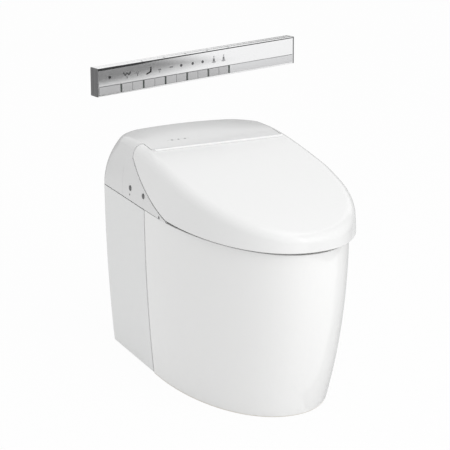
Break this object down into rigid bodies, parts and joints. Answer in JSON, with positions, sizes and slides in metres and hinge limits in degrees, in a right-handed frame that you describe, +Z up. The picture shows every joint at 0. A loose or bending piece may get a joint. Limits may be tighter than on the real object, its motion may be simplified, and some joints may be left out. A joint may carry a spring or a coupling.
{
  "type": "smart_toilet",
  "caption": "White smart toilet with a skirted bowl, swept gloss lid and rear cover, cheek flush buttons, wash wand and a slim wall remote with a row of keys.",
  "frame": {"origin": "waste outlet axis at floor level", "axes": "+X to the right seen from the front, +Y to the wall, +Z up"},
  "size_m": [0.5642, 0.7705, 0.668],
  "materials": {
    "china": "gloss",
    "lid_white": "gloss",
    "cover_white": "gloss",
    "seat_white": "gloss",
    "panel_white": "gloss",
    "bumper_rubber": "matte",
    "bare_steel": "satin",
    "frame_steel": "satin",
    "inner_plastic": "matte",
    "dark_plastic": "matte",
    "wand_white": "satin",
    "wand_grey": "satin",
    "board_green": "satin",
    "button_grey": "satin",
    "lens_smoke": "gloss",
    "remote_silver": "satin",
    "key_grey": "satin",
    "cell_sleeve": "gloss"
  },
  "bodies": {
    "toilet_body": {"bowl_body": "china", "bowl_deck": "china", "bowl_basin": "china", "bowl_well": "china", "bowl_trapway": "china", "rear_cover": "cover_white", "tower_housing": "cover_white", "hinge_pin_left": "bare_steel", "hinge_pin_right": "bare_steel", "seat_drive": "inner_plastic", "lid_drive": "inner_plastic", "side_cover_left": "panel_white", "side_cover_right": "panel_white", "rear_frame": "frame_steel", "flush_tank": "inner_plastic", "flush_tank_lid": "inner_plastic", "fill_valve": "inner_plastic", "jet_pump_housing": "dark_plastic", "flush_pipe": "dark_plastic", "outlet_seal": "bumper_rubber", "base_plate": "inner_plastic", "wand_guide": "inner_plastic", "wand_drive": "dark_plastic", "dryer_housing": "inner_plastic", "dryer_duct": "inner_plastic", "water_heater": "bare_steel", "power_supply": "frame_steel", "control_board": "board_green", "cord_gland": "dark_plastic", "indicator_lens": "lens_smoke", "remote_wall_bracket": "frame_steel"},
    "seat_body": {"seat": "seat_white", "seat_bumpers": "bumper_rubber"},
    "lid_body": {"lid": "lid_white", "lid_bumpers": "bumper_rubber"},
    "wand_body": {"wash_wand": "wand_white", "wand_tip": "wand_grey"},
    "dryer_flap_body": {"dryer_flap": "wand_white"},
    "dryer_rotor_body": {"dryer_rotor": "inner_plastic"},
    "pump_rotor_body": {"jet_pump_rotor": "inner_plastic"},
    "float_body": {"fill_float": "inner_plastic"},
    "flush_front_body": {"flush_button_front": "button_grey"},
    "flush_rear_body": {"flush_button_rear": "button_grey"},
    "remote_body": {"remote_front_case": "remote_silver", "remote_back_cover": "remote_silver", "remote_board": "board_green", "remote_cell_left": "cell_sleeve", "remote_cell_right": "cell_sleeve", "remote_end_strip": "key_grey"},
    "remote_stop_button_body": {"remote_stop_button": "key_grey"},
    "remote_button_01_body": {"remote_button_01": "key_grey"},
    "remote_button_02_body": {"remote_button_02": "key_grey"},
    "remote_button_03_body": {"remote_button_03": "key_grey"},
    "remote_button_04_body": {"remote_button_04": "key_grey"},
    "remote_button_05_body": {"remote_button_05": "key_grey"},
    "remote_button_06_body": {"remote_button_06": "key_grey"},
    "remote_button_07_body": {"remote_button_07": "key_grey"},
    "remote_button_08_body": {"remote_button_08": "key_grey"},
    "remote_button_09_body": {"remote_button_09": "key_grey"},
    "remote_button_10_body": {"remote_button_10": "key_grey"}
  },
  "joints": [
    {"name": "seat_hinge", "type": "hinge", "parent": "toilet_body", "child": "seat_body", "pos_m": [0, 0.116, 0.498], "axis": [-1, 0, 0], "range_deg": [0, 95]},
    {"name": "lid_hinge", "type": "hinge", "parent": "seat_body", "child": "lid_body", "pos_m": [0, 0.116, 0.498], "axis": [1, 0, 0], "range_deg": [-98, 0]},
    {"name": "wand_slide", "type": "slide", "parent": "toilet_body", "child": "wand_body", "axis": [0, -0.866, -0.5], "range_m": [0, 0.095]},
    {"name": "dryer_flap_hinge", "type": "hinge", "parent": "toilet_body", "child": "dryer_flap_body", "pos_m": [0.088, -0.02985, 0.419], "axis": [-1, 0, 0], "range_deg": [0, 60]},
    {"name": "dryer_spin", "type": "hinge", "parent": "toilet_body", "child": "dryer_rotor_body", "pos_m": [0.088, 0.062, 0.4], "axis": [0, 0, 1], "continuous": true},
    {"name": "pump_spin", "type": "hinge", "parent": "toilet_body", "child": "pump_rotor_body", "pos_m": [0.06, 0.092, 0.2], "axis": [0, 0, 1], "continuous": true},
    {"name": "float_slide", "type": "slide", "parent": "toilet_body", "child": "float_body", "axis": [0, 0, 1], "range_m": [0, 0.04]},
    {"name": "flush_front_press", "type": "slide", "parent": "toilet_body", "child": "flush_front_body", "axis": [1, 0, 0], "range_m": [0, 0.0015], "stiffness_N_per_m": 800},
    {"name": "flush_rear_press", "type": "slide", "parent": "toilet_body", "child": "flush_rear_body", "axis": [1, 0, 0], "range_m": [0, 0.0015], "stiffness_N_per_m": 800},
    {"name": "remote_lift", "type": "slide", "parent": "toilet_body", "child": "remote_body", "axis": [0, 0, 1], "range_m": [0, 0.04]},
    {"name": "remote_stop_button_press", "type": "slide", "parent": "remote_body", "child": "remote_stop_button_body", "axis": [-0.2419, 0.9703, 0], "range_m": [0, 0.001], "stiffness_N_per_m": 700},
    {"name": "remote_button_01_press", "type": "slide", "parent": "remote_body", "child": "remote_button_01_body", "axis": [-0.2419, 0.9703, 0], "range_m": [0, 0.001], "stiffness_N_per_m": 700},
    {"name": "remote_button_02_press", "type": "slide", "parent": "remote_body", "child": "remote_button_02_body", "axis": [-0.2419, 0.9703, 0], "range_m": [0, 0.001], "stiffness_N_per_m": 700},
    {"name": "remote_button_03_press", "type": "slide", "parent": "remote_body", "child": "remote_button_03_body", "axis": [-0.2419, 0.9703, 0], "range_m": [0, 0.001], "stiffness_N_per_m": 700},
    {"name": "remote_button_04_press", "type": "slide", "parent": "remote_body", "child": "remote_button_04_body", "axis": [-0.2419, 0.9703, 0], "range_m": [0, 0.001], "stiffness_N_per_m": 700},
    {"name": "remote_button_05_press", "type": "slide", "parent": "remote_body", "child": "remote_button_05_body", "axis": [-0.2419, 0.9703, 0], "range_m": [0, 0.001], "stiffness_N_per_m": 700},
    {"name": "remote_button_06_press", "type": "slide", "parent": "remote_body", "child": "remote_button_06_body", "axis": [-0.2419, 0.9703, 0], "range_m": [0, 0.001], "stiffness_N_per_m": 700},
    {"name": "remote_button_07_press", "type": "slide", "parent": "remote_body", "child": "remote_button_07_body", "axis": [-0.2419, 0.9703, 0], "range_m": [0, 0.001], "stiffness_N_per_m": 700},
    {"name": "remote_button_08_press", "type": "slide", "parent": "remote_body", "child": "remote_button_08_body", "axis": [-0.2419, 0.9703, 0], "range_m": [0, 0.001], "stiffness_N_per_m": 700},
    {"name": "remote_button_09_press", "type": "slide", "parent": "remote_body", "child": "remote_button_09_body", "axis": [-0.2419, 0.9703, 0], "range_m": [0, 0.001], "stiffness_N_per_m": 700},
    {"name": "remote_button_10_press", "type": "slide", "parent": "remote_body", "child": "remote_button_10_body", "axis": [-0.2419, 0.9703, 0], "range_m": [0, 0.001], "stiffness_N_per_m": 700}
  ]
}
